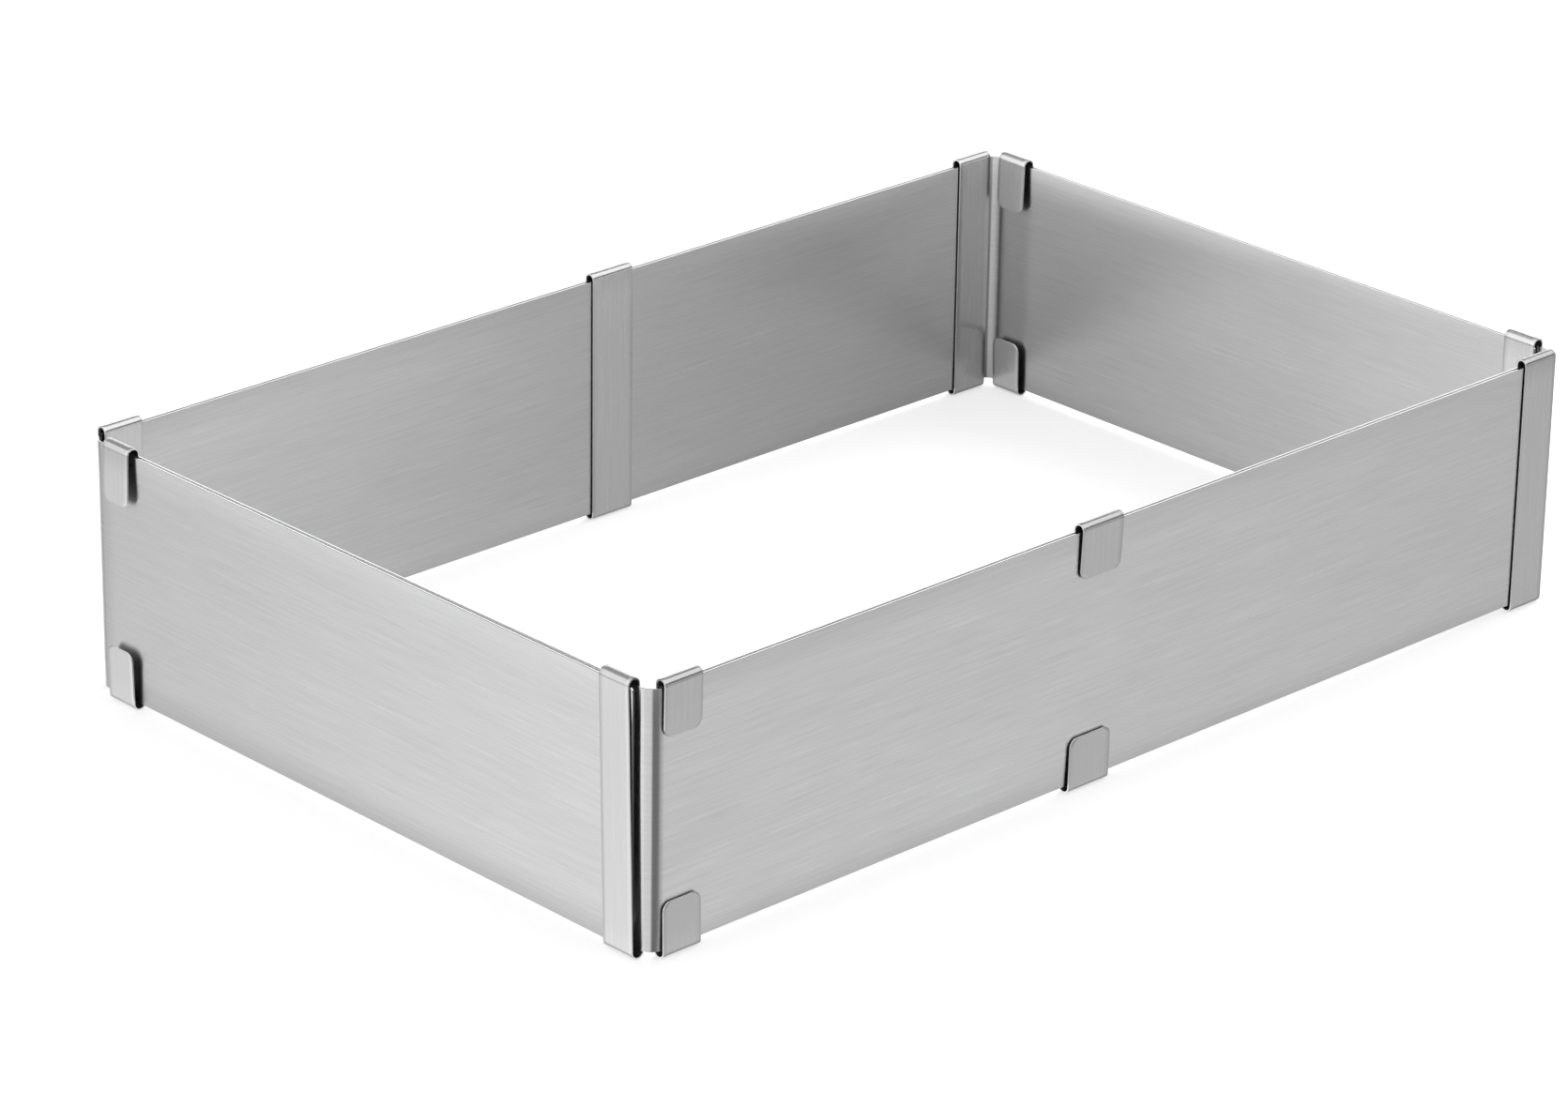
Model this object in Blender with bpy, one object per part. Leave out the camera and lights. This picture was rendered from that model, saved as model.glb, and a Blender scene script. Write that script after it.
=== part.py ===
"""Adjustable cake frame: a bottomless rectangular baking ring of brushed stainless steel.

Four L-shaped plates lap in pairs along every wall and slide in each other, so the frame grows in
length and in width. Flat strips folded over the top and bottom edges hold each pair together: one
on every plate's two free ends, and a loose one in the middle of each long wall.
The frame is modelled pushed together. +X runs along the long walls, +Y along the short ones,
+Z up, and the origin is at the centre of the surface that the frame stands on.
"""

import bmesh
import bpy
import math
from collections import namedtuple

# The frame, in metres, measured over the outer faces of its outer plates
FRAME_LENGTH = 0.240
FRAME_WIDTH = 0.155
WALL_HEIGHT = 0.050

# The plates
PLATE_SHEET = 0.0004
PLATE_BEND_RADIUS = 0.0032  # outside of the corner bend
PLATE_CORNER_RADIUS = 0.0012  # rounding of the free ends, seen from the side
LONG_WALL_GAP = 0.0004  # air between the two plates of a long wall
SHORT_WALL_GAP = 0.00035
LEFT_WALL_SPREAD = 0.0005  # how far the left wall's outer plate has sprung out at its free end
LONG_OUTER_END_INSET = 0.0026  # from an outer plate's free end on a long wall to the corner
SHORT_OUTER_END_INSET = 0.0033
LONG_INNER_END_OVERLAP = 0.0006  # how far an inner plate's end runs in beside its neighbour's bend
SHORT_INNER_END_INSET = 0.0019  # how far an inner plate's end stays short of its neighbour's bend

# The clips
CLIP_SHEET = 0.0003
STRIP_GAP = 0.00025  # between a strip and the plate that it lies on
LONG_CLIP_WIDTH = 0.0088
SHORT_CLIP_WIDTH = 0.0074
MIDDLE_CLIP_WIDTH = 0.0105
MIDDLE_CLIP_PLACE = 0.110  # from the corner where the wall's inner plate ends to the clip's centre
LONG_TAB_LENGTH = 0.0093  # from the plate's edge to the tab's tip
LONG_TAB_GAP = 0.00045  # between the tab's root and the plate
LONG_TAB_TIP_GAP = 0.0003
SHORT_TAB_LENGTH = 0.0102
SPREAD_CLEARANCE = 0.0004  # between a tab's root and a plate that has sprung out towards it
SHORT_TAB_FLARE = 0.0003  # how much further off a tab's tip is than its root
TAB_CORNER_RADIUS = 0.0018
FOLD_REACH = 0.0015  # from a plate's edge to the outside of the folds over it
FRONT_CLIP_LEAN = math.radians(2)  # the loose front clip sits a little crooked
LEFT_CLIP_LEAN = math.radians(1.5)  # and so does the one at the end that has sprung out

# The steel
STEEL_SHADE = 0.72
STEEL_ROUGHNESS = 0.3
SHARP_ANGLE = math.radians(30)  # edges that turn more than this are shaded sharp

# How finely the round stretches are divided
BEND_STEPS = 12
FOLD_STEPS = 15  # odd, so that every fold has a flat facet at its crown
ROUNDING_STEPS = 5

# Worked out from the sizes above
LONG_WALL = 2 * PLATE_SHEET + LONG_WALL_GAP
SHORT_WALL = 2 * PLATE_SHEET + SHORT_WALL_GAP
LONG_INNER_FACE = PLATE_SHEET + LONG_WALL_GAP
SHORT_INNER_FACE = PLATE_SHEET + SHORT_WALL_GAP
SHORT_TAB_GAP = LEFT_WALL_SPREAD + SPREAD_CLEARANCE

# One crosswise line of a folded sheet: its point on the face that the fold is measured from, the
# point behind it through the sheet, and where the sheet's two edges lie along the fold's axis
Station = namedtuple("Station", "face back low high")


def clear_scene():
    for item in list(bpy.data.objects):
        bpy.data.objects.remove(item, do_unlink=True)


def steel(name):
    """Brushed stainless steel."""
    material = bpy.data.materials.new(name)
    material.use_nodes = True
    shader = material.node_tree.nodes["Principled BSDF"]
    shader.inputs["Base Color"].default_value = (STEEL_SHADE, STEEL_SHADE, STEEL_SHADE, 1)
    shader.inputs["Metallic"].default_value = 1
    shader.inputs["Roughness"].default_value = STEEL_ROUGHNESS
    return material


def folded_sheet(name, stations, axis_point):
    """A sheet blank folded along its stations. axis_point turns a point of the fold's plane and a
    place along the fold's axis into a point in space."""
    mesh = bmesh.new()
    rings = []
    for station in stations:
        corners = (
            (station.face, station.low),
            (station.face, station.high),
            (station.back, station.high),
            (station.back, station.low),
        )
        rings.append([mesh.verts.new(axis_point(point, place)) for point, place in corners])
    sides = len(rings[0])
    for ring, following in zip(rings, rings[1:]):
        for i in range(sides):
            j = (i + 1) % sides
            mesh.faces.new((ring[i], ring[j], following[j], following[i]))
    mesh.faces.new(list(reversed(rings[0])))
    mesh.faces.new(rings[-1])
    bmesh.ops.recalc_face_normals(mesh, faces=mesh.faces)
    data = bpy.data.meshes.new(name)
    mesh.to_mesh(data)
    mesh.free()
    data.shade_smooth()
    data.set_sharp_from_angle(angle=SHARP_ANGLE)
    return data


def rounded_insets(radius):
    """How far a rounded corner draws an edge in, from the sheet's end inwards, as pairs of the
    distance from the end and the inset there."""
    turns = [math.pi / 2 * i / ROUNDING_STEPS for i in range(ROUNDING_STEPS + 1)]
    return [(radius * (1 - math.cos(turn)), radius * (1 - math.sin(turn))) for turn in turns]


def leg_lean(spread, reach):
    """The angle by which a plate's short leg is open where its free end has sprung out."""
    return math.atan2(spread, reach - PLATE_BEND_RADIUS)


def corner_plate(name, face_x, face_y, reach_x, reach_y, side, spread=0):
    """An L-shaped plate standing on edge, its corner at the origin: one leg along X with its outer
    face at face_y, the other along Y with its outer face at face_x, their free ends at reach_x and
    reach_y. side is -1 where the X leg runs the other way. spread is how far the Y leg's free end
    has sprung out."""
    low = FOLD_REACH
    high = FOLD_REACH + WALL_HEIGHT
    insets = rounded_insets(PLATE_CORNER_RADIUS)

    def upright(face, back, inset):
        return Station(face, back, low + inset, high - inset)

    stations = [
        upright((reach_x - far, face_y), (reach_x - far, face_y + PLATE_SHEET), inset)
        for far, inset in insets
    ]
    middle_x = face_x + PLATE_BEND_RADIUS
    middle_y = face_y + PLATE_BEND_RADIUS
    inside_radius = PLATE_BEND_RADIUS - PLATE_SHEET
    lean = leg_lean(spread, reach_y)
    for i in range(BEND_STEPS + 1):
        turn = (math.pi / 2 - lean) * i / BEND_STEPS
        face, back = (
            (middle_x - radius * math.sin(turn), middle_y - radius * math.cos(turn))
            for radius in (PLATE_BEND_RADIUS, inside_radius)
        )
        stations.append(upright(face, back, 0))
    for far, inset in reversed(insets):
        run = reach_y - far - face[1]
        step = (-run * math.tan(lean), run)
        ends = ((point[0] + step[0], point[1] + step[1]) for point in (face, back))
        stations.append(upright(*ends, inset))
    return folded_sheet(name, stations, lambda point, place: (side * point[0], point[1], place))


def folded_clip(name, width, wall, tab_length, tab_gap, tab_flare, lean):
    """A strip the height of the wall, folded over both of its edges and back down the other face in
    two tabs with rounded corners. The strip's inner face is at y = 0 and the tabs lie towards +Y,
    tab_gap off the wall at their roots and tab_flare further off at their tips. lean tilts the
    strip sideways, its foot towards +X."""
    channel = STRIP_GAP + wall + tab_gap
    radius = channel / 2
    facet_share = math.cos(math.pi / FOLD_STEPS / 2)
    insets = rounded_insets(TAB_CORNER_RADIUS)
    middle = FOLD_REACH + WALL_HEIGHT / 2

    def across(face, back, inset):
        slip = math.tan(lean) * (middle - face[1])
        half = width / 2 - inset
        return Station(face, back, slip - half, slip + half)

    def end(edge, up):
        """The tab and fold at one edge of the wall, from the tab's tip to the strip."""
        spring = edge + up * (FOLD_REACH - CLIP_SHEET - radius)
        tip = edge - up * tab_length
        stations = []
        for far, inset in insets:
            height = tip + up * far
            flare = tab_flare * (height - spring) / (tip - spring)
            y = channel + flare
            stations.append(across((y, height), (y + CLIP_SHEET, height), inset))
        for i in range(FOLD_STEPS + 1):
            turn = math.pi * i / FOLD_STEPS
            face, back = (
                (
                    radius + (radius + out) * math.cos(turn),
                    spring + up * (radius + out) * math.sin(turn) / facet_share,
                )
                for out in (0, CLIP_SHEET)
            )
            stations.append(across(face, back, 0))
        return stations

    top = end(FOLD_REACH + WALL_HEIGHT, 1)
    bottom = end(FOLD_REACH, -1)
    stations = top + list(reversed(bottom))
    return folded_sheet(name, stations, lambda point, place: (place, point[0], point[1]))


def place_piece(name, data, parent, location=(0, 0, 0), turn=0):
    piece = bpy.data.objects.new(name, data)
    piece.data.materials.clear()
    piece.data.materials.append(steel(name + "_steel"))
    bpy.context.scene.collection.objects.link(piece)
    piece.parent = parent
    piece.location = location
    piece.rotation_euler = (0, 0, turn)
    return piece


def section(name, x, y, turn):
    """The empty that carries one plate and its clips, on the corner where the plate is bent."""
    carrier = bpy.data.objects.new(name, None)
    bpy.context.scene.collection.objects.link(carrier)
    carrier.location = (x, y, 0)
    carrier.rotation_euler = (0, 0, turn)
    return carrier


# The free ends, from the corner where each plate is bent. An outer plate stops short of the far
# corner. An inner one runs a little in beside its neighbour's bend on a long wall, and stops short
# of it on a short one.
LONG_OUTER_REACH = FRAME_LENGTH - LONG_OUTER_END_INSET
LONG_INNER_REACH = (
    FRAME_LENGTH - SHORT_INNER_FACE - PLATE_BEND_RADIUS + LONG_INNER_END_OVERLAP
)
SHORT_OUTER_REACH = FRAME_WIDTH - SHORT_OUTER_END_INSET
SHORT_INNER_REACH = FRAME_WIDTH - LONG_INNER_FACE - PLATE_BEND_RADIUS - SHORT_INNER_END_INSET


def long_clip(name, width, lean=0):
    pinch = LONG_TAB_TIP_GAP - LONG_TAB_GAP
    return folded_clip(name, width, LONG_WALL, LONG_TAB_LENGTH, LONG_TAB_GAP, pinch, lean)


def short_clip(name, lean=0):
    return folded_clip(
        name, SHORT_CLIP_WIDTH, SHORT_WALL, SHORT_TAB_LENGTH, SHORT_TAB_GAP, SHORT_TAB_FLARE, lean
    )


def outside_section(corner, long_name, short_name, plate_name):
    """A plate that lies outside on its long wall and inside on its short one."""
    plate = corner_plate(
        plate_name, SHORT_INNER_FACE, 0, LONG_OUTER_REACH, SHORT_INNER_REACH, side=1
    )
    place_piece(plate_name, plate, corner)
    end_x = LONG_OUTER_REACH - LONG_CLIP_WIDTH / 2
    clip = long_clip(long_name, LONG_CLIP_WIDTH)
    place_piece(long_name, clip, corner, (end_x, -STRIP_GAP, 0))
    end_y = SHORT_INNER_REACH - SHORT_CLIP_WIDTH / 2
    place_piece(
        short_name, short_clip(short_name), corner, (SHORT_WALL + STRIP_GAP, end_y, 0), math.pi / 2
    )


def inside_section(corner, long_name, short_name, plate_name, spread, short_lean):
    """A plate that lies inside on its long wall and outside on its short one, where its free end
    has sprung out by spread and its clip leans by short_lean."""
    plate = corner_plate(
        plate_name, 0, LONG_INNER_FACE, LONG_INNER_REACH, SHORT_OUTER_REACH, -1, spread
    )
    place_piece(plate_name, plate, corner)
    end_x = LONG_CLIP_WIDTH / 2 - LONG_INNER_REACH
    clip = long_clip(long_name, LONG_CLIP_WIDTH)
    place_piece(long_name, clip, corner, (end_x, LONG_WALL + STRIP_GAP, 0), math.pi)
    end_y = SHORT_OUTER_REACH - SHORT_CLIP_WIDTH / 2
    lean = leg_lean(spread, SHORT_OUTER_REACH)
    out = STRIP_GAP + spread - SHORT_CLIP_WIDTH / 2 * math.tan(lean)
    clip = short_clip(short_name, short_lean)
    place_piece(short_name, clip, corner, (out, end_y, 0), math.pi / 2 - lean)


def middle_clip(name, corner, lean):
    """The loose clip of a long wall, its strip inside and its tabs outside."""
    clip = long_clip(name, MIDDLE_CLIP_WIDTH, lean=lean)
    place_piece(name, clip, corner, (0, LONG_WALL + STRIP_GAP, 0), math.pi)


def build_half(wall, near, far, opposite, turn, far_spread, far_lean, middle_lean):
    """One long wall with the two plates that are bent at its ends, and their clips. turn is 0 for
    the front wall, and half a turn for the back one."""
    half_x = math.cos(turn) * FRAME_LENGTH / 2
    half_y = math.cos(turn) * FRAME_WIDTH / 2
    corner = section(f"{wall}_{near}_section", -half_x, -half_y, turn)
    outside_section(
        corner, f"{wall}_wall_{far}_clip", f"{near}_wall_{opposite}_clip", f"{wall}_{near}_plate"
    )
    corner = section(f"{wall}_{far}_section", half_x, -half_y, turn)
    inside_section(
        corner,
        f"{wall}_wall_{near}_clip",
        f"{far}_wall_{opposite}_clip",
        f"{wall}_{far}_plate",
        far_spread,
        far_lean,
    )
    middle_x = -half_x + math.cos(turn) * MIDDLE_CLIP_PLACE
    corner = section(f"{wall}_middle_section", middle_x, -half_y, turn)
    middle_clip(f"{wall}_wall_middle_clip", corner, middle_lean)


clear_scene()
build_half("front", "left", "right", "back", 0, 0, 0, FRONT_CLIP_LEAN)
build_half("back", "right", "left", "front", math.pi, LEFT_WALL_SPREAD, LEFT_CLIP_LEAN, 0)
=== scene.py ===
# %% [markdown]
# An adjustable cake frame in brushed stainless steel. Four L-shaped plates lap in pairs along the
# walls, and folded strips hold each pair together, so the frame slides wider and longer. This
# script dresses the finished construction: it makes every sheet again with a fine fold, rounded
# corners and a rolled edge, brushes the steel, and sets the camera and the light.

import math

import bpy
from mathutils import Matrix, Vector


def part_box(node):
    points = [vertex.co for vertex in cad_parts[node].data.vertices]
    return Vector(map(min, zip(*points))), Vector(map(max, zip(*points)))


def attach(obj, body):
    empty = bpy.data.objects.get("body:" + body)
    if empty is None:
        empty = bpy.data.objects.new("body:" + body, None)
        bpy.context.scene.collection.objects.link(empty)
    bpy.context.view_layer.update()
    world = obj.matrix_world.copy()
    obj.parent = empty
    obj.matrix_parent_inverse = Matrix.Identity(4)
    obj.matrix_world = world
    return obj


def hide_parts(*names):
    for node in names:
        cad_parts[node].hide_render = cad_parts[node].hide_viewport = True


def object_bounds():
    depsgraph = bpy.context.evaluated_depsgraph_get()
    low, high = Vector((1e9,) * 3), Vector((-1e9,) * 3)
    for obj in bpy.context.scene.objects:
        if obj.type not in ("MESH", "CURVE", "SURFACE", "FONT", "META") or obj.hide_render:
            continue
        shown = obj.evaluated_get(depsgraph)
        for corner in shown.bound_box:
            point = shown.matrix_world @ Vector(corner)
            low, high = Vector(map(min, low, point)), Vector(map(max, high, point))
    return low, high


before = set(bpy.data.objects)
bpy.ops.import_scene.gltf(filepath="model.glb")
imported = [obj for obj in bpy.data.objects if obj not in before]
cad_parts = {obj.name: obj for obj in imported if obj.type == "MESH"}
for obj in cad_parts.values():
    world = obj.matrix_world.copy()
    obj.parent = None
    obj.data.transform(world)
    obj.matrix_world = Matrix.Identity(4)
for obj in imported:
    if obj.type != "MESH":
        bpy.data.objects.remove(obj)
cad_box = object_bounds()
print("box of the construction:", [[round(value, 4) for value in corner] for corner in cad_box])

# %% [markdown]
# Nearly every step below adds nodes, to fold a sheet, to make a finish or to light the studio.
# They could be placed by hand in the node editor, but a script says exactly what is linked to
# what. Two small helpers keep that short.

# %% Helpers for nodes and objects
MM = 1000  # millimetres in a metre


class Tree:
    """A node tree with short calls."""

    def __init__(self, tree):
        self.tree = tree

    def node(self, kind, inputs=(), **settings):
        """Add a node with these settings, and link its inputs or set them to a value."""
        node = self.tree.nodes.new(kind)
        for name, value in settings.items():
            setattr(node, name, value)
        for key, value in dict(inputs).items():
            if isinstance(value, bpy.types.NodeSocket):
                self.link(value, node, key)
            else:
                node.inputs[key].default_value = value
        return node

    def math(self, operation, *values):
        """The result of a Math node on these values."""
        node = self.node("ShaderNodeMath", enumerate(values), operation=operation)
        return node.outputs[0]

    def link(self, output, node, name):
        """Link an output to the input of this name."""
        self.tree.links.new(output, node.inputs[name])


def add_object(name, data):
    """A new object at the origin that holds this mesh, curve, camera or lamp."""
    item = bpy.data.objects.new(name, data)
    bpy.context.scene.collection.objects.link(item)
    return item


print("building in Blender", bpy.app.version_string)

# %% [markdown]
# Everything here is sheet metal, cut flat and then folded. A sheet can be modelled in many ways:
# as a box pulled about, or as a section swept along a path. Here each sheet starts as the flat
# blank that the maker cuts out, a grid with rounded corners, and is then laid along its folding
# line. So the rounded corners, the folds and the grain all follow the metal as they do on the
# real thing, and one node tree makes the four plates and the ten clips.

# %% The folding line and the flat grid
BEND_POINTS = 14  # points round each quarter turn
POINTS_ACROSS = 9  # points across a blank


def bent_line(tree, size):
    """The folding line with round bends, at the points whose radius is 1 and not 0."""
    bends = tree.node("GeometryNodeInputRadius").outputs[0]
    return tree.node(
        "GeometryNodeFilletCurve",
        {
            "Curve": size["Geometry"],
            "Radius": tree.math("MULTIPLY", bends, size["Bend radius"]),
            "Count": BEND_POINTS,
        },
        mode="POLY",
    ).outputs["Curve"]


def flat_grid(tree, line):
    """A grid with one row for each point of the line. With it come the row that a grid point is
    in, and how far across the blank it lies, from 0 to 1."""
    counted = tree.node("GeometryNodeAttributeDomainSize", {"Geometry": line}, component="CURVE")
    points = counted.outputs["Point Count"]
    grid = tree.node(
        "GeometryNodeMeshGrid", {"Vertices X": points, "Vertices Y": POINTS_ACROSS}
    ).outputs["Mesh"]
    index = tree.node("GeometryNodeInputIndex").outputs[0]
    row = tree.math("FLOOR", tree.math("DIVIDE", index, POINTS_ACROSS))
    share = tree.math("DIVIDE", tree.math("MODULO", index, POINTS_ACROSS), POINTS_ACROSS - 1)
    return grid, row, share


print("a blank is", POINTS_ACROSS, "points wide, and has", BEND_POINTS, "points round each bend")

# %% [markdown]
# The folding line is a curve in the XY plane, and the sheet stands on it along Z. Each row of the
# grid is as long as the sheet is wide there, and shorter towards the two ends. The corners could
# be cut from the finished sheet instead, but this way their edge is a row of even faces. A point
# also keeps its place on the flat blank, as a map for the grain.

# %% The width of a row and the map of the blank
MAP = "sheet"  # the name of the blank's own map


def at_row(tree, line, row, value, kind):
    """What a value is at the line's point that this row stands on."""
    return tree.node(
        "GeometryNodeSampleIndex",
        {"Geometry": line, "Value": value, "Index": row},
        data_type=kind,
        domain="POINT",
    ).outputs[0]


def half_width(tree, size, to_end):
    """Half of the blank's width, this far from its nearer end."""
    radius = size["Corner radius"]
    inside = tree.math("MAXIMUM", tree.math("SUBTRACT", radius, to_end), 0.0)
    rise = tree.math("SUBTRACT", tree.math("POWER", radius, 2.0), tree.math("POWER", inside, 2.0))
    inset = tree.math("SUBTRACT", radius, tree.math("SQRT", tree.math("MAXIMUM", rise, 0.0)))
    return tree.math("SUBTRACT", tree.math("MULTIPLY", size["Width"], 0.5), inset)


def keep_map(tree, sheet, along, across):
    """Store each point's place on the flat blank as the blank's map."""
    flat = tree.node("ShaderNodeCombineXYZ", {"X": along, "Y": across}).outputs[0]
    at_points = tree.node(
        "GeometryNodeFieldOnDomain", {0: flat}, data_type="FLOAT_VECTOR", domain="POINT"
    ).outputs[0]
    return tree.node(
        "GeometryNodeStoreNamedAttribute",
        {"Geometry": sheet, "Name": MAP, "Value": at_points},
        data_type="FLOAT2",
        domain="CORNER",
    ).outputs[0]


print("a sheet's map is called", MAP)

# %% The tree that folds a flat blank along a line
BLANK_INPUTS = (
    ("Width", "Float"),
    ("Corner radius", "Float"),
    ("Bend radius", "Float"),
    ("Lean", "Float"),
    ("Material", "Material"),
)


def node_tree(name, inputs):
    """An empty Geometry Nodes tree with a geometry and these named inputs, as (name, kind)."""
    group = bpy.data.node_groups.new(name, "GeometryNodeTree")
    group.interface.new_socket("Geometry", in_out="INPUT", socket_type="NodeSocketGeometry")
    for title, kind in inputs:
        group.interface.new_socket(title, in_out="INPUT", socket_type="NodeSocket" + kind)
    group.interface.new_socket("Geometry", in_out="OUTPUT", socket_type="NodeSocketGeometry")
    return group


def blank_tree():
    """The tree itself: bend the line, stand the grid on it, and give it its map and steel."""
    group = node_tree("folded_blank", BLANK_INPUTS)
    tree = Tree(group)
    size = tree.node("NodeGroupInput").outputs
    line = bent_line(tree, size)
    grid, row, share = flat_grid(tree, line)
    way = tree.node("GeometryNodeSplineParameter").outputs["Length"]
    along = at_row(tree, line, row, way, "FLOAT")
    position = tree.node("GeometryNodeInputPosition").outputs[0]
    xyz = tree.node(
        "ShaderNodeSeparateXYZ", {"Vector": at_row(tree, line, row, position, "FLOAT_VECTOR")}
    ).outputs
    length = tree.node("GeometryNodeCurveLength", {"Curve": line}).outputs[0]
    half = half_width(
        tree, size, tree.math("MINIMUM", along, tree.math("SUBTRACT", length, along))
    )
    side = tree.math("SUBTRACT", tree.math("MULTIPLY", share, 2.0), 1.0)
    across = tree.math("MULTIPLY", half, side)
    height = tree.math("ADD", across, tree.math("MULTIPLY", xyz["Y"], size["Lean"]))
    standing = tree.node(
        "ShaderNodeCombineXYZ", {"X": xyz["X"], "Y": xyz["Y"], "Z": height}
    ).outputs[0]
    laid = tree.node("GeometryNodeSetPosition", {"Geometry": grid, "Position": standing})
    mapped = keep_map(tree, laid.outputs[0], along, across)
    real = tree.node("GeometryNodeRealizeInstances", {"Geometry": mapped}).outputs[0]
    steel = tree.node(
        "GeometryNodeSetMaterial", {"Geometry": real, "Material": size["Material"]}
    ).outputs[0]
    tree.node("NodeGroupOutput", {"Geometry": steel})
    return group


BLANK = blank_tree()
print("the blank's tree has", len(BLANK.nodes), "nodes")

# %% [markdown]
# Brushed steel takes its look from three things. The grain is a stretched noise, long along the
# sheet and very fine across it, and it changes the brightness and the roughness a little. The
# scratches spread reflections across the grain and not along it, which is what anisotropy does,
# with a tangent read from the blank. And a sheet isn't the same all over: its cut edges shine, and
# its sheared ends and the inner sides of its folds are painted nearly black, painted shade for the
# dark that falls in slots and tight folds. A photograph of steel could be laid on instead, but a
# noise stays sharp at any distance. It is read from the blank's own map, so the grain turns every
# bend with the metal.

# %% The marks of the brushing
FINE_MARKS = {"length": 0.012, "breadth": 0.00022, "detail": 2.0, "start": 11.0}
STREAKS = {"length": 0.024, "breadth": 0.0006, "detail": 3.0, "start": 7.0}
CLOUDS = {"length": 0.09, "breadth": 0.02, "detail": 2.0, "start": 3.0}
MARK_ROUGHNESS = 0.65  # how strongly the finer detail of a mark shows
FINE_SHARE = 0.8  # how strongly the fine marks show, where the streaks are 1
CLOUD_SHARE = 0.35


def brushing(tree, place, length, breadth, detail, start):
    """A noise of marks this long and this broad, in metres, whose pattern starts here."""
    stretched = tree.node(
        "ShaderNodeMapping",
        {"Vector": place, "Location": (start, start, 0), "Scale": (1 / length, 1 / breadth, 1)},
    ).outputs[0]
    return tree.node(
        "ShaderNodeTexNoise",
        {"Vector": stretched, "Scale": 1.0, "Detail": detail, "Roughness": MARK_ROUGHNESS},
        noise_dimensions="2D",
    ).outputs["Fac"]


def swing(tree, noise, size):
    """A noise that swings round 0 instead of round a half, this far from its low to its high."""
    return tree.math("MULTIPLY", tree.math("SUBTRACT", noise, 0.5), size)


print("the finest marks are", FINE_MARKS["breadth"] * MM, "mm broad")

# %% Steel with brushing
COLD_CAST = 1.005  # how much bluer than grey the steel is
DULLING = 0.5  # how much rougher the steel gets where it is darker
MARK_DEPTH = 0.000004  # of a scratch, in metres
MARK_STRENGTH = 3.3  # of the scratches' relief, for a grain of 1
QUARTER_TURN = 0.25  # turns the spread of the reflections from along the grain to across it


def new_finish(name):
    """A new material, its nodes as a Tree, and its shader."""
    material = bpy.data.materials.new(name)
    material.use_nodes = True
    return material, Tree(material.node_tree), material.node_tree.nodes["Principled BSDF"]


def tinted(tree, colour, level):
    """A colour at this level of brightness."""
    return tree.node(
        "ShaderNodeVectorMath", {0: colour, "Scale": level}, operation="SCALE"
    ).outputs[0]


def brushed_steel(name, shade, roughness, grain, anisotropy):
    """Sheet steel of this grey with brushing along the blank."""
    material, tree, shader = new_finish(name)
    place = tree.node("ShaderNodeUVMap", uv_map=MAP).outputs[0]
    fine = brushing(tree, place, **FINE_MARKS)
    marks = tree.math(
        "ADD",
        swing(tree, fine, FINE_SHARE * grain),
        swing(tree, brushing(tree, place, **STREAKS), grain),
    )
    clouds = brushing(tree, place, **CLOUDS)
    marks = tree.math("ADD", marks, swing(tree, clouds, CLOUD_SHARE * grain))
    grey = (shade, shade, shade * COLD_CAST)
    tree.link(tinted(tree, grey, tree.math("ADD", marks, 1.0)), shader, "Base Color")
    rough = tree.math("SUBTRACT", roughness, tree.math("MULTIPLY", marks, DULLING))
    tree.link(rough, shader, "Roughness")
    bump = tree.node(
        "ShaderNodeBump",
        {"Height": fine, "Distance": MARK_DEPTH, "Strength": MARK_STRENGTH * grain},
    )
    tree.link(bump.outputs[0], shader, "Normal")
    tangent = tree.node("ShaderNodeTangent", direction_type="UV_MAP", uv_map=MAP)
    tree.link(tangent.outputs[0], shader, "Tangent")
    shader.inputs["Metallic"].default_value = 1.0
    shader.inputs["Anisotropic"].default_value = anisotropy
    shader.inputs["Anisotropic Rotation"].default_value = QUARTER_TURN
    return material


PLATE_STEEL = brushed_steel("plate_steel", shade=0.84, roughness=0.30, grain=0.15, anisotropy=0.9)
print("plates:", PLATE_STEEL.name, "with", len(PLATE_STEEL.node_tree.nodes), "nodes")

# %% [markdown]
# The clips are cut from another strip, so their grain is fainter. They could all share one grey,
# but small tilts of the real ones make them mirror different parts of the studio. In place of those
# tilts the front wall's clips get a darker grey, painted shade, and the back and right walls' clips
# a brighter one, painted light. A real fold is so tight that hardly any light gets into it, and the
# clips' inner side is painted nearly black, painted shade that keeps that black line.

# %% The clips' steel and the cut edges
EDGE_MARKS = 900.0  # faint marks along a metre of a cut edge
EDGE_DETAIL = 2.0
EDGE_DIM = 0.95  # a mark's brightness runs from this share of the shade
EDGE_SWING = 0.1  # to this much more
CLIP_BRUSHING = {"roughness": 0.28, "grain": 0.07, "anisotropy": 0.88}


def cut_edge(name, shade, smooth, rough):
    """A cut edge of the sheet, with faint marks that vary its roughness in this range."""
    material, tree, shader = new_finish(name)
    place = tree.node("ShaderNodeTexCoord").outputs["Object"]
    marks = tree.node(
        "ShaderNodeTexNoise", {"Vector": place, "Scale": EDGE_MARKS, "Detail": EDGE_DETAIL}
    ).outputs["Fac"]
    roughness = tree.node(
        "ShaderNodeMapRange", {"Value": marks, "To Min": smooth, "To Max": rough}
    ).outputs["Result"]
    tree.link(roughness, shader, "Roughness")
    level = tree.math("ADD", tree.math("MULTIPLY", marks, EDGE_SWING), EDGE_DIM)
    tree.link(tinted(tree, (shade, shade, shade), level), shader, "Base Color")
    shader.inputs["Metallic"].default_value = 1.0
    return material


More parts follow.
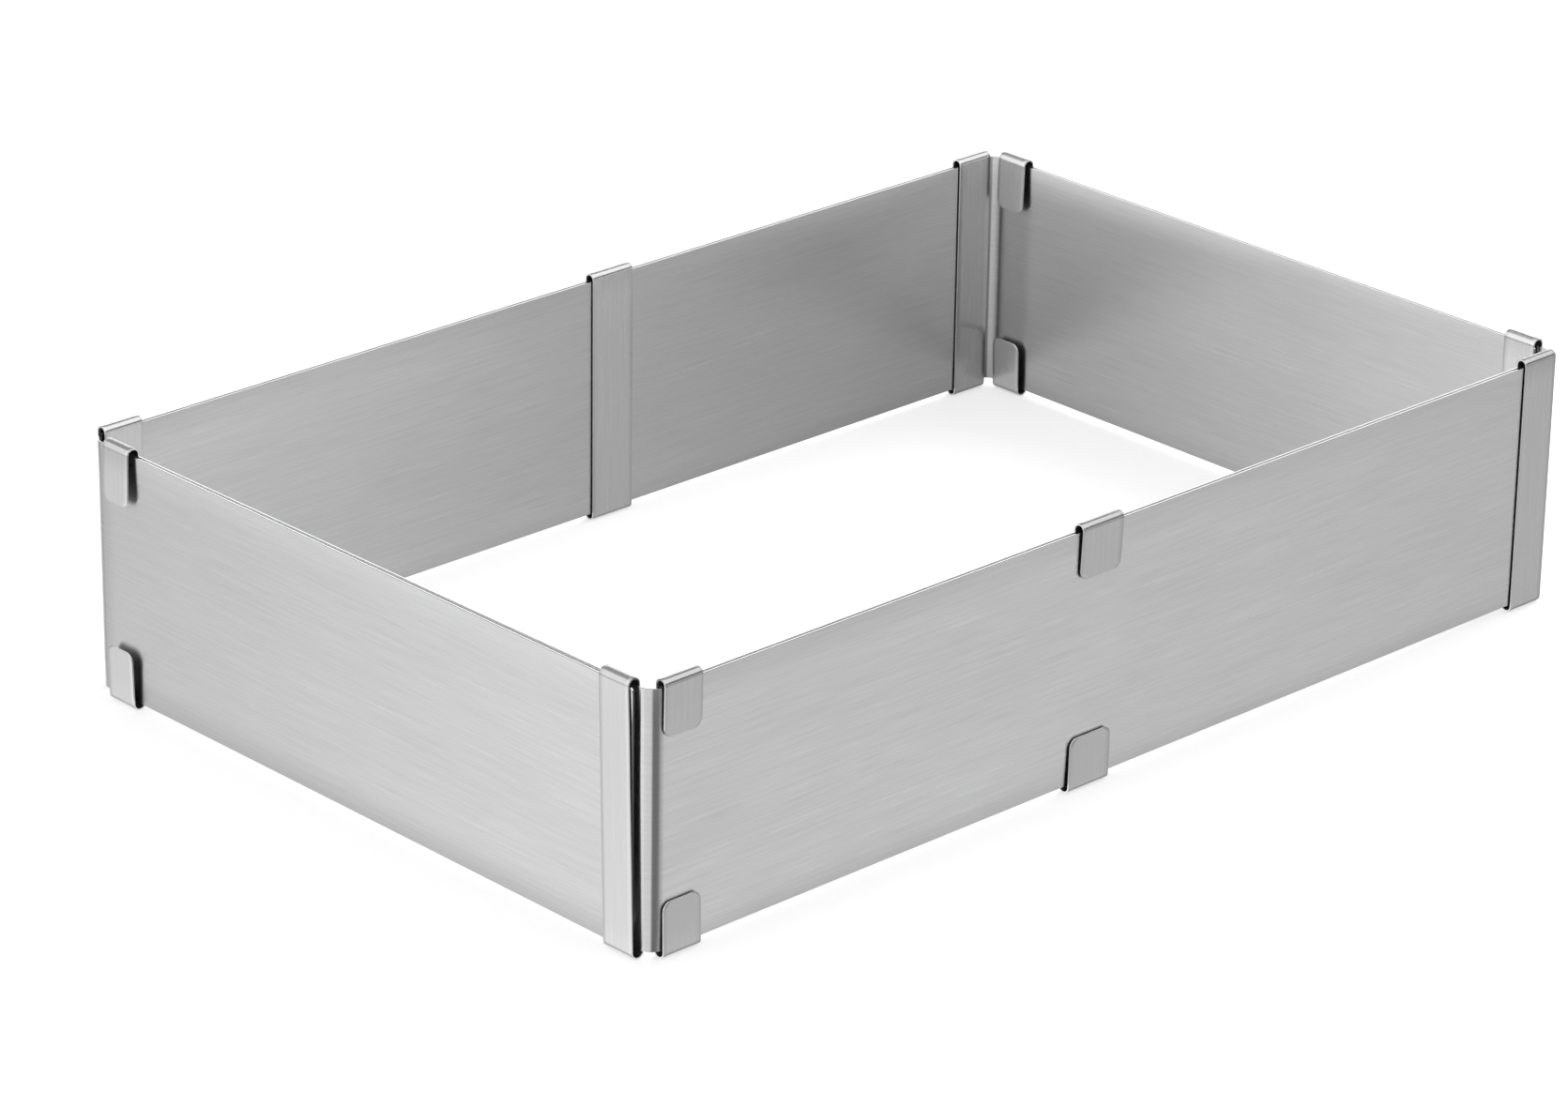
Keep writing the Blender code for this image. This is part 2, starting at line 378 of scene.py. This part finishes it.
CLIP_STEEL = brushed_steel("clip_steel", shade=0.80, **CLIP_BRUSHING)
# a darker grey for the front wall's clips: painted shade in place of their tilt
CLIP_STEEL_PAINTED_SHADE = brushed_steel("clip_steel_painted_shade", shade=0.72, **CLIP_BRUSHING)
# a brighter grey for the back and right walls' clips: painted light in place of their tilt
CLIP_STEEL_PAINTED_LIGHT = brushed_steel("clip_steel_painted_light", shade=0.92, **CLIP_BRUSHING)
# nearly black steel for the clips' inner side: painted shade for the dark of a tight fold
CLIP_INSIDE_PAINTED_SHADE = brushed_steel("clip_inside_painted_shade", shade=0.16, roughness=0.45, grain=0.12, anisotropy=0.5)
CUT_EDGE = cut_edge("cut_edge", shade=0.92, smooth=0.12, rough=0.18)
# the plates' short ends: nearly black, painted shade for the slot they stand in, with the rougher
# surface of a sheared cut
SHEARED_END_PAINTED_SHADE = cut_edge("sheared_end_painted_shade", shade=0.15, smooth=0.45, rough=0.60)
CLIP_FINISHES = (CLIP_STEEL, CLIP_STEEL_PAINTED_SHADE, CLIP_STEEL_PAINTED_LIGHT, CLIP_INSIDE_PAINTED_SHADE)
print("clips:", [material.name for material in CLIP_FINISHES])
print("edges:", [material.name for material in (CUT_EDGE, SHEARED_END_PAINTED_SHADE)])

# %% [markdown]
# A folding line is a short list of points, one for each end and each bend. The tree could take it
# as it is, but its points become the rows of the grid. So the line gets extra points near its two
# ends, closer together towards the very end, where the rounded corners need them. Its straight
# runs are divided too, so that no face gets long and thin.

# %% Folding lines
END_POINTS = 8  # steps round a rounded corner
LEG_STEP = 0.006  # about how long a step is on a straight run


def finely(points, corner_radius):
    """The points of a folding line, each with 1 where the sheet bends there and 0 where it
    doesn't, with more of them near the line's ends and along its straight runs."""
    points = [Vector(point) for point in points]
    dense = []
    for start, end in zip(points, points[1:]):
        run = end - start
        steps = max(1, round(run.length / LEG_STEP))
        dense += [(start + run * (i / steps), int(i == 0)) for i in range(steps)]
    dense.append((points[-1], 0))

    def from_end(first, second):
        turns = [math.pi / 2 * i / END_POINTS for i in range(END_POINTS + 1)]
        step = (second - first).normalized()
        return [(first + step * corner_radius * (1 - math.cos(turn)), 0) for turn in turns]

    head = from_end(dense[0][0], dense[1][0])
    tail = list(reversed(from_end(dense[-1][0], dense[-2][0])))
    return head + dense[1:-1] + tail


def line_object(name, points):
    """A curve object through these points, whose radius says where the sheet bends."""
    curve = bpy.data.curves.new(name, "CURVE")
    curve.dimensions = "3D"
    spline = curve.splines.new("POLY")
    spline.points.add(len(points) - 1)
    for slot, (point, bend) in zip(spline.points, points):
        slot.co = (point.x, point.y, 0.0, 1.0)
        slot.radius = bend
    return add_object(name, curve)


print("straight runs are divided about every", LEG_STEP * MM, "mm")

# %% [markdown]
# The blank's tree is a modifier on the line. Its result could stay live, but a plain mesh can be
# thickened, transformed and exported like any other, so each result is taken from the evaluated
# object and the modifier goes.

# %% From a line to a folded blank
def set_inputs(modifier, values):
    """Set a node modifier's inputs, found by their names but set by their identifiers."""
    for item in modifier.node_group.interface.items_tree:
        if item.in_out == "INPUT" and item.name in values:
            modifier[item.identifier] = values[item.name]


def plain_mesh(item):
    """What an object's modifiers make of it, as a plain mesh."""
    bpy.context.view_layer.update()
    graph = bpy.context.evaluated_depsgraph_get()
    return bpy.data.meshes.new_from_object(
        item.evaluated_get(graph), preserve_all_data_layers=True, depsgraph=graph
    )


def folded_blank(name, points, values):
    """The blank folded along these points, as a plain mesh that has no thickness yet."""
    line = line_object(name + "_line", finely(points, values["Corner radius"]))
    fold = line.modifiers.new("fold", "NODES")
    fold.node_group = BLANK
    set_inputs(fold, values)
    blank = plain_mesh(line)
    line.modifiers.remove(fold)
    bpy.data.objects.remove(line, do_unlink=True)
    return blank


print("the folding modifier has", len(BLANK_INPUTS), "named inputs")

# %% [markdown]
# The real sheet is a few tenths of a millimetre thick, and its edges are rolled a little, so they
# catch the light as a fine line. The thickness could be part of the folding tree, but Solidify
# gives it evenly to any shape, with finishes of their own for the rim and for the back, and Bevel
# then rolls the edges that are sharp.

# %% From a folded blank to a sheet
EDGE_ROUNDING = 0.00009
EDGE_STEPS = 2
EDGE_ANGLE = math.radians(50)  # an edge is rolled if its faces turn by more than this
SHARP_ANGLE = math.radians(40)  # and shaded as sharp if they still turn by more than this
STEEL_SLOT = 1  # a blank's first slot comes from its line and is empty, and its steel is next
RIM_STEP = 1  # how many slots after the steel's the cut edge's finish is
INSIDE_STEP = 2  # and that of the folds' inner side
UPRIGHT = 0.5  # a rim face belongs to an end if its normal rises by less than this


def thicken(item, sheet, inside_step):
    """Give an object's folded blank this thickness and rolled edges."""
    solid = item.modifiers.new("thickness", "SOLIDIFY")
    solid.thickness = sheet
    solid.offset = 0.0
    solid.use_even_offset = True
    solid.material_offset_rim = RIM_STEP
    solid.material_offset = inside_step
    edge = item.modifiers.new("edges", "BEVEL")
    edge.width = EDGE_ROUNDING
    edge.segments = EDGE_STEPS
    edge.limit_method = "ANGLE"
    edge.angle_limit = EDGE_ANGLE
    edge.material = STEEL_SLOT


def finish_ends(mesh, finish):
    """Give the rim this finish on the blank's two short ends; here it is nearly black, painted shade."""
    rim = mesh.materials.find(CUT_EDGE.name)
    mesh.materials.append(finish)
    for face in mesh.polygons:
        if face.material_index == rim and abs(face.normal.z) < UPRIGHT:
            face.material_index = len(mesh.materials) - 1


def fold_sheet(name, points, sheet, place, values, inside=None, ends=None):
    """Fold a blank along these points, give it its thickness and rolled edges, and put the plain
    mesh that results in place. inside is the material of the folds' inner side and ends that of
    the blank's two short ends, if they differ; here both are nearly black steel, painted shade."""
    item = add_object(name, folded_blank(name, points, values))
    item.data.materials.append(CUT_EDGE)
    if inside:
        item.data.materials.append(inside)
    thicken(item, sheet, INSIDE_STEP if inside else 0)
    mesh = plain_mesh(item)
    item.modifiers.clear()
    mesh.name = name
    if ends:
        finish_ends(mesh, ends)
    item.data = mesh
    mesh.transform(place)
    mesh.shade_smooth()
    mesh.set_sharp_from_angle(angle=SHARP_ANGLE)
    return item


print("edges are rolled to", round(EDGE_ROUNDING * MM, 2), "mm")

# %% [markdown]
# The plates. Each is one strip with a single bend, and its two legs lie outside on one wall and
# inside on the other. Two flat boxes could stand for the legs, but then the grain would break at
# the corner. The plates' faces and free ends are read from the construction, so the dressed ones
# lie exactly where it has them. The left wall's outer plate has sprung open a little, which
# leaves the dark slot at the corner nearest the viewer, and the plates' short ends are painted
# nearly black, painted shade that deepens the slot.

# %% The four plates
PLATE_SHEET = 0.0004
PLATE_BEND_RADIUS = 0.0032  # on the outside of the bend
PLATE_CORNER_RADIUS = 0.0012
LEFT_WALL_SPREAD = 0.0005  # how far the left wall's outer plate has sprung out at its free end


def plate(node, body, corner_x, corner_y, spread=0.0):
    """The plate whose bend is at the box's low or high side in x and in y, each given as -1 or 1."""
    low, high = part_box(node)
    half = PLATE_SHEET / 2

    def sides(side, axis):
        """The middle of the sheet on this side of the box, and the box's other side."""
        near, far = (low, high) if side < 0 else (high, low)
        return near[axis] - side * half, far[axis]

    face_x, end_x = sides(corner_x, 0)
    face_y, end_y = sides(corner_y, 1)
    open_by = corner_x * spread
    points = [(end_x, face_y), (face_x - open_by, face_y), (face_x, end_y)]
    points = [(x, y, 0.0) for x, y in points]
    if corner_x * corner_y < 0:
        points.reverse()  # so that every plate's line turns to the right
    place = Matrix.Translation((0, 0, (low.z + high.z) / 2))
    item = fold_sheet(
        node + "_steel",
        points,
        PLATE_SHEET,
        place,
        {
            "Width": high.z - low.z,
            "Corner radius": PLATE_CORNER_RADIUS,
            "Bend radius": PLATE_BEND_RADIUS - half,
            "Material": PLATE_STEEL,
        },
        # the short ends are nearly black, painted shade for the slots at the corners
        ends=SHEARED_END_PAINTED_SHADE,
    )
    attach(item, body)
    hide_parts(node)
    return item


PLATES = [
    plate("front_left_plate", "front_left", -1, -1),
    plate("front_right_plate", "front_right", 1, -1),
    plate("back_right_plate", "back_right", 1, 1),
    plate("back_left_plate", "back_left", -1, 1, LEFT_WALL_SPREAD),
]
print("faces on the plates:", [len(item.data.polygons) for item in PLATES])

# %% [markdown]
# The clips. Each is a strip as tall as the wall, folded over both of its edges and back down in
# two tabs. Strip, folds and tabs could be made one by one and joined, but as one strip they have
# no seams, like the real ones. The folding line runs from tab tip to tab tip: up the tab, round
# the fold, down the strip, round the lower fold and up again. The tabs on the short walls stand
# off the plate, and those on the long walls are pinched.

# %% A clip's folding line and its place
CLIP_SHEET = 0.0003
TAB_CORNER_RADIUS = 0.0018
CROWN_ROUNDING = 0.49  # a fold's bend radius as a share of its depth: nearly a half circle
UP = Vector((0, 0, 1))


def clip_line(depth, height, tab_length, flare):
    """A clip's folding line, seen along the wall: x runs from the strip to the tabs and y up."""
    half = CLIP_SHEET / 2
    crown = height / 2 - half
    root = crown - depth / 2
    tip = crown + half - tab_length
    crown_depth = depth - flare * (crown - root) / (root - tip)
    upper = [(depth + flare, tip), (crown_depth, crown), (0.0, crown)]
    both = upper + [(x, -y) for x, y in reversed(upper)]
    return [(x, y, 0.0) for x, y in both]


def clip_place(axis, inward, strip_at, middle, turn):
    """Where the folding line goes: its x inward across the wall, its y up, and its strip here."""
    place = Matrix((inward, UP, inward.cross(UP))).transposed().to_4x4()
    place.translation = middle
    place[axis][3] = strip_at
    pivot = Matrix.Translation(middle)
    return pivot @ Matrix.Rotation(turn, 4, "Z") @ pivot.inverted() @ place if turn else place


print("clips are", CLIP_SHEET * MM, "mm thick, and plates", PLATE_SHEET * MM, "mm")


# %% A clip
def clip(node, body, wall, strip, tab_length, flare, steel, width=0.0, lean=0.0, turn=0.0):
    """The clip of a node. wall is the direction out of the wall, as "x" or "y" with a sign, and
    strip is 1 where its strip is on the outside of the wall and -1 where it is inside. A clip that
    leans is given its width, since its box is wider."""
    low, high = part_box(node)
    half = CLIP_SHEET / 2
    axis = 0 if "x" in wall else 1
    out = -1 if "-" in wall else 1
    other = 1 - axis
    strip_side = out * strip
    near, far = (high[axis], low[axis]) if strip_side > 0 else (low[axis], high[axis])
    strip_at = near - strip_side * half
    tab_at = far + strip_side * (half + max(flare, 0.0))
    depth = abs(strip_at - tab_at)
    inward = Vector((0, 0, 0))
    inward[axis] = -strip_side
    item = fold_sheet(
        node + "_steel",
        clip_line(depth, high.z - low.z, tab_length, flare),
        CLIP_SHEET,
        clip_place(axis, inward, strip_at, (low + high) / 2, turn),
        {
            "Width": width or high[other] - low[other],
            "Corner radius": TAB_CORNER_RADIUS,
            "Bend radius": depth * CROWN_ROUNDING,
            "Lean": math.tan(lean) * inward.cross(UP)[other],
            "Material": steel,
        },
        # the inner side is nearly black, painted shade for the dark inside the fold
        inside=CLIP_INSIDE_PAINTED_SHADE,
    )
    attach(item, body)
    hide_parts(node)
    return item


print("a clip bends with a radius of", CROWN_ROUNDING, "of its fold's depth")

# %% [markdown]
# A tab's length goes from the fold's crown to the tab's tip, and its flare is how much further
# off the wall its tip is than its root. Two clips sit a little crooked in the photograph: the
# loose one of the front wall, and the left wall's front one, which also follows the plate that
# has sprung open. They could be turned after folding, but then their folds would leave the line
# of the wall's edges, so the folding tree slants them instead.

# %% The ten clips
LONG_WALL = {"tab_length": 0.0108, "flare": -0.00015}
SHORT_WALL = {"tab_length": 0.0117, "flare": 0.0003}
LEANING_MIDDLE = {"width": 0.0105, "lean": math.radians(2)}
LEFT_LOW, LEFT_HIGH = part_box("back_left_plate")
LEANING_LEFT = {
    "width": 0.0074,
    "lean": math.radians(1.5),
    "turn": math.atan2(LEFT_WALL_SPREAD, LEFT_HIGH.y - LEFT_LOW.y - PLATE_BEND_RADIUS),
}
# the front wall's clips get the darker grey, painted shade, and the back and right walls' the brighter
# one, painted light
FRONT = {"wall": "-y", "steel": CLIP_STEEL_PAINTED_SHADE, **LONG_WALL}
BACK = {"wall": "y", "steel": CLIP_STEEL_PAINTED_LIGHT, **LONG_WALL}
LEFT = {"wall": "-x", "steel": CLIP_STEEL, **SHORT_WALL}
RIGHT = {"wall": "x", "steel": CLIP_STEEL_PAINTED_LIGHT, **SHORT_WALL}
CLIPS = [
    clip("front_wall_right_clip", "front_left", strip=1, **FRONT),
    clip("front_wall_left_clip", "front_right", strip=-1, **FRONT),
    clip("front_wall_middle_clip", "front_middle_clip", strip=-1, **FRONT, **LEANING_MIDDLE),
    clip("back_wall_left_clip", "back_right", strip=1, **BACK),
    clip("back_wall_right_clip", "back_left", strip=-1, **BACK),
    clip("back_wall_middle_clip", "back_middle_clip", strip=-1, **BACK),
    clip("left_wall_back_clip", "front_left", strip=-1, **LEFT),
    clip("left_wall_front_clip", "back_left", strip=1, **LEFT, **LEANING_LEFT),
    clip("right_wall_back_clip", "front_right", strip=1, **RIGHT),
    clip("right_wall_front_clip", "back_right", strip=-1, **RIGHT),
]
print("faces on the clips:", [len(item.data.polygons) for item in CLIPS])

# %% [markdown]
# The camera looks down on the corner where the front and left walls meet. A long lens keeps the
# walls' edges nearly parallel, as in a product photograph. A camera can be aimed by hand or by a
# Track To constraint. Here its place is worked out from two angles, a roll and a distance, so
# that each of them can be changed by itself.

# %% The camera
IMAGE_WIDTH = 1671.0
SENSOR = 0.036
AZIMUTH = math.radians(-43.78)  # from the front, which is -Y
ELEVATION = math.radians(23.15)
ROLL = math.radians(0.88)
DISTANCE = 1.1904
FOCAL_PIXELS = 6613.3  # the focal length in pixels of the photograph
SIDE_SHIFT = -0.01042  # how far the camera stands aside and up, in metres
UP_SHIFT = -0.00742
AIM_HEIGHT = 0.0265
NEAREST = 0.01  # where the view starts and ends, in metres from the camera
FARTHEST = 20


def photograph_camera():
    """The camera whose view fits the corners and edges of the photographed frame best."""
    back = Vector(
        (
            math.sin(AZIMUTH) * math.cos(ELEVATION),
            -math.cos(AZIMUTH) * math.cos(ELEVATION),
            math.sin(ELEVATION),
        )
    )
    right = Vector((math.cos(AZIMUTH), math.sin(AZIMUTH), 0))
    up = back.cross(right)
    turned_right = right * math.cos(ROLL) + up * math.sin(ROLL)
    turned_up = back.cross(turned_right)
    place = back * DISTANCE + turned_right * SIDE_SHIFT + turned_up * UP_SHIFT
    place.z += AIM_HEIGHT
    data = bpy.data.cameras.new("camera")
    data.sensor_width = SENSOR * MM
    data.lens = FOCAL_PIXELS / IMAGE_WIDTH * SENSOR * MM
    data.clip_start = NEAREST
    data.clip_end = FARTHEST
    camera = add_object("camera", data)
    turn = Matrix((turned_right, turned_up, back)).transposed()
    camera.matrix_world = Matrix.Translation(place) @ turn.to_4x4()
    bpy.context.scene.camera = camera
    return camera


camera = photograph_camera()
print("camera at", [round(value, 3) for value in camera.location], "lens", round(camera.data.lens), "mm")

# %% [markdown]
# The floor is white paper that keeps the frame's soft shadow, and for the camera a part of its
# white comes from the material itself. Shiny walls show whatever stands opposite them, so what
# they see is given: reflections pass through the paper and see the room, as they do on a
# clear table. Inside the frame they are shaded more and more towards the far right corner, where
# the inner walls darken each other. Reflections from both inner walls run nearly square to the
# diagonal x + y, so a shade that changes along it keeps each wall even from top to foot.

# %% What a reflection keeps of the room
SHADE_START = -0.055  # x + y where the shade starts, in metres
CORNER_SHADE = 0.41  # what is left of a reflection at the far right corner


def kept_reflection(tree, xyz):
    """The tint of a reflection that passes through the paper at this point."""
    inside = [
        tree.math("LESS_THAN", tree.math("ABSOLUTE", xyz[axis]), half)
        for axis, half in (("X", cad_box[1][0]), ("Y", cad_box[1][1]))
    ]
    shade = tree.node(
        "ShaderNodeMapRange",
        {
            "Value": tree.math("ADD", xyz["X"], xyz["Y"]),
            "From Min": SHADE_START,
            "From Max": cad_box[1][0] + cad_box[1][1],
            "To Min": 0.0,
            "To Max": 1.0 - CORNER_SHADE,
        },
    ).outputs["Result"]
    kept = tree.math("SUBTRACT", 1.0, tree.math("MULTIPLY", shade, tree.math("MULTIPLY", *inside)))
    return tree.node("ShaderNodeCombineXYZ", {"X": kept, "Y": kept, "Z": kept}).outputs[0]


print("a reflection keeps", CORNER_SHADE, "of the room at the far right corner")


# %% The floor
FLOOR_SIZE = 6.0
PAPER_WHITE = 0.80
PAPER_GLOW = 0.45  # the part of the white that comes from the material itself


def paper():
    """White paper for the camera and a clear, shaded table for reflections."""
    material, tree, shader = new_finish("white_paper")
    tree.tree.nodes.remove(shader)
    ray = tree.node("ShaderNodeLightPath").outputs
    place = tree.node("ShaderNodeTexCoord").outputs["Object"]
    xyz = tree.node("ShaderNodeSeparateXYZ", {"Vector": place}).outputs
    white = (PAPER_WHITE, PAPER_WHITE, PAPER_WHITE, 1)
    matt = tree.node("ShaderNodeBsdfDiffuse", {"Color": white}).outputs[0]
    seen = tree.math("MAXIMUM", ray["Is Camera Ray"], ray["Is Transmission Ray"])
    glow = tree.node(
        "ShaderNodeEmission", {"Strength": tree.math("MULTIPLY", seen, PAPER_GLOW)}
    ).outputs[0]
    both = tree.node("ShaderNodeAddShader", {0: matt, 1: glow}).outputs[0]
    clear = tree.node(
        "ShaderNodeBsdfTransparent", {"Color": kept_reflection(tree, xyz)}
    ).outputs[0]
    table = tree.node("ShaderNodeMixShader", {0: ray["Is Glossy Ray"], 1: both, 2: clear})
    tree.link(table.outputs[0], material.node_tree.nodes["Material Output"], "Surface")
    return material


def paper_floor():
    """A large square of paper under the frame."""
    mesh = bpy.data.meshes.new("floor")
    reach = FLOOR_SIZE / 2
    corners = [(-reach, -reach, 0), (reach, -reach, 0), (reach, reach, 0), (-reach, reach, 0)]
    mesh.from_pydata(corners, [], [(0, 1, 2, 3)])
    floor = add_object("floor", mesh)
    mesh.materials.append(paper())
    return floor


floor = paper_floor()
print("floor:", round(floor.dimensions.x, 1), "m wide")

# %% [markdown]
# Steel shows the room that it stands in, so a studio could be built round it from panels and
# cards. Here the world does it instead: its brightness is a product of two rows of levels, one
# around the frame and one up and down, which are easier to adjust than panels. To the left stands
# a bright panel, to the right a dimmer one, and the side between that and the camera is dark,
# which makes the shaded half of the near bend. A bright panel behind the frame lights the walls'
# top edges. Higher up all this gives way to an even ceiling, and two black cards draw the fine
# dark lines along the folds. The camera sees plain white, and the floor an even pale room.

# %% The studio's brightness by direction
ROOM_LEVEL = 0.8  # what the floor gets from the room
ROOM_BY_AZIMUTH = (  # degrees from +X towards +Y and the brightness there, with the camera at -134
    (-180, 0.86),
    (-165, 0.82),
    (-150, 0.82),
    (-135, 0.78),
    (-128, 0.15),
    (-90, 0.15),
    (-75, 0.50),
    (-60, 0.60),
    (-53, 0.80),
    (-46, 0.86),
    (-38, 0.67),
    (-33, 0.54),
    (-24, 0.42),
    (16, 0.38),
    (30, 1.50),
    (60, 1.50),
    (100, 0.58),
    (122, 0.42),
    (132, 1.05),
    (136, 1.27),
    (139, 1.17),
    (142, 1.04),
    (148, 1.12),
    (162, 1.15),
    (180, 0.86),
)
ROOM_BY_ELEVATION = (  # degrees up, where below 0 is what the walls see through the paper
    (-90, 0.86),
    (-35, 0.86),
    (-30, 1.18),
    (-28, 1.14),
    (-26, 0.88),
    (-24, 0.92),
    (-22, 1.08),
    (-20.5, 1.08),
    (-18.5, 0.64),
    (-14, 0.58),
    (-4, 0.64),
    (2, 1.0),
    (90, 1.0),
)
CEILING = (20, 30)  # the room turns into an even bright ceiling between these heights, in degrees
BLACK_CARDS = (  # each one's left, right, bottom and top, in degrees around and up
    (-75, -28, 8, 27),
    (18, 110, 28, 60),
)
CARD_BLACK = 0.95  # how much of a reflection a card takes away
print("the room has", len(ROOM_BY_AZIMUTH), "levels around and", len(ROOM_BY_ELEVATION), "up and down")


# %% Levels, cards and mixtures as nodes
def level_ramp(tree, angle, stops, low, high):
    """The level for an angle in radians, from stops in degrees between low and high."""
    share = tree.node(
        "ShaderNodeMapRange",
        {"Value": angle, "From Min": math.radians(low), "From Max": math.radians(high)},
    ).outputs["Result"]
    ramp = tree.node("ShaderNodeValToRGB", {"Fac": share})
    elements = ramp.color_ramp.elements
    for place, _ in stops[1:-1]:
        elements.new((place - low) / (high - low))
    for element, (place, level) in zip(elements, stops):
        element.position = (place - low) / (high - low)
        element.color = (level, level, level, 1)
    return ramp.outputs["Color"]


def beside_card(tree, azimuth, elevation, card):
    """1 beside this card, and what a black card still reflects on it."""
    left, right, bottom, top = (math.radians(angle) for angle in card)
    on_card = tree.math("MULTIPLY", tree.math("GREATER_THAN", azimuth, left), CARD_BLACK)
    on_card = tree.math("MULTIPLY", on_card, tree.math("LESS_THAN", azimuth, right))
    on_card = tree.math("MULTIPLY", on_card, tree.math("GREATER_THAN", elevation, bottom))
    on_card = tree.math("MULTIPLY", on_card, tree.math("LESS_THAN", elevation, top))
    return tree.math("SUBTRACT", 1.0, on_card)


def mixed(tree, factor, first, second):
    """The first level where the factor is 0 and the second where it is 1."""
    return tree.node(
        "ShaderNodeMix", {"Factor": factor, "A": first, "B": second}, data_type="FLOAT"
    ).outputs[0]


print("a black card still reflects", round(1 - CARD_BLACK, 2), "of the room")


# %% The room
def studio_levels(tree):
    """What a reflection sees in its direction."""
    direction = tree.node("ShaderNodeTexCoord").outputs["Generated"]
    xyz = tree.node("ShaderNodeSeparateXYZ", {"Vector": direction}).outputs
    azimuth = tree.math("ARCTAN2", xyz["Y"], xyz["X"])
    elevation = tree.math("ARCSINE", xyz["Z"])
    around = level_ramp(tree, azimuth, ROOM_BY_AZIMUTH, -180, 180)
    upward = level_ramp(tree, elevation, ROOM_BY_ELEVATION, -90, 90)
    low, high = (math.radians(angle) for angle in CEILING)
    overhead = tree.node(
        "ShaderNodeMapRange", {"Value": elevation, "From Min": low, "From Max": high}
    ).outputs["Result"]
    levels = tree.math("MULTIPLY", mixed(tree, overhead, around, 1.0), upward)
    for card in BLACK_CARDS:
        levels = tree.math("MULTIPLY", levels, beside_card(tree, azimuth, elevation, card))
    return levels


def studio_room():
    """The world: white for the camera, the studio for reflections and even for the rest."""
    world = bpy.data.worlds.new("studio")
    world.use_nodes = True
    tree = Tree(world.node_tree)
    background = world.node_tree.nodes["Background"]
    ray = tree.node("ShaderNodeLightPath").outputs
    level = mixed(tree, ray["Is Glossy Ray"], ROOM_LEVEL, studio_levels(tree))
    level = mixed(tree, ray["Is Camera Ray"], level, 1.0)
    background.inputs["Color"].default_value = (1, 1, 1, 1)
    tree.link(level, background, "Strength")
    bpy.context.scene.world = world
    return world


room = studio_room()
print("the room has", len(room.node_tree.nodes), "nodes")

# %% [markdown]
# One lamp is left to add, a large one behind the frame and to its right, which draws the frame's
# soft shadow on the paper. A sun could do it too, but a softbox is what such a photograph is lit
# with, and its size says how soft the shadow is. Reflections don't show the lamp, because the
# room's levels already say what they see.

# %% The lamp
def softbox(name, azimuth, elevation, distance, width, height, power):
    """A rectangular lamp that faces the frame from this direction, for the floor's soft shadow."""
    lamp = bpy.data.lights.new(name, "AREA")
    lamp.shape = "RECTANGLE"
    lamp.size = width
    lamp.size_y = height
    lamp.energy = power
    item = add_object(name, lamp)
    azimuth = math.radians(azimuth)
    elevation = math.radians(elevation)
    back = Vector(
        (
            math.cos(azimuth) * math.cos(elevation),
            math.sin(azimuth) * math.cos(elevation),
            math.sin(elevation),
        )
    )
    item.location = back * distance
    item.rotation_euler = back.to_track_quat("Z", "Y").to_euler()
    item.visible_glossy = False
    return item


lamp = softbox(
    "softbox_right", azimuth=20, elevation=45, distance=1.6, width=1.2, height=1.2, power=12
)
bpy.context.scene.view_settings.view_transform = "Standard"
print(lamp.name, "at", [round(value, 2) for value in lamp.location])
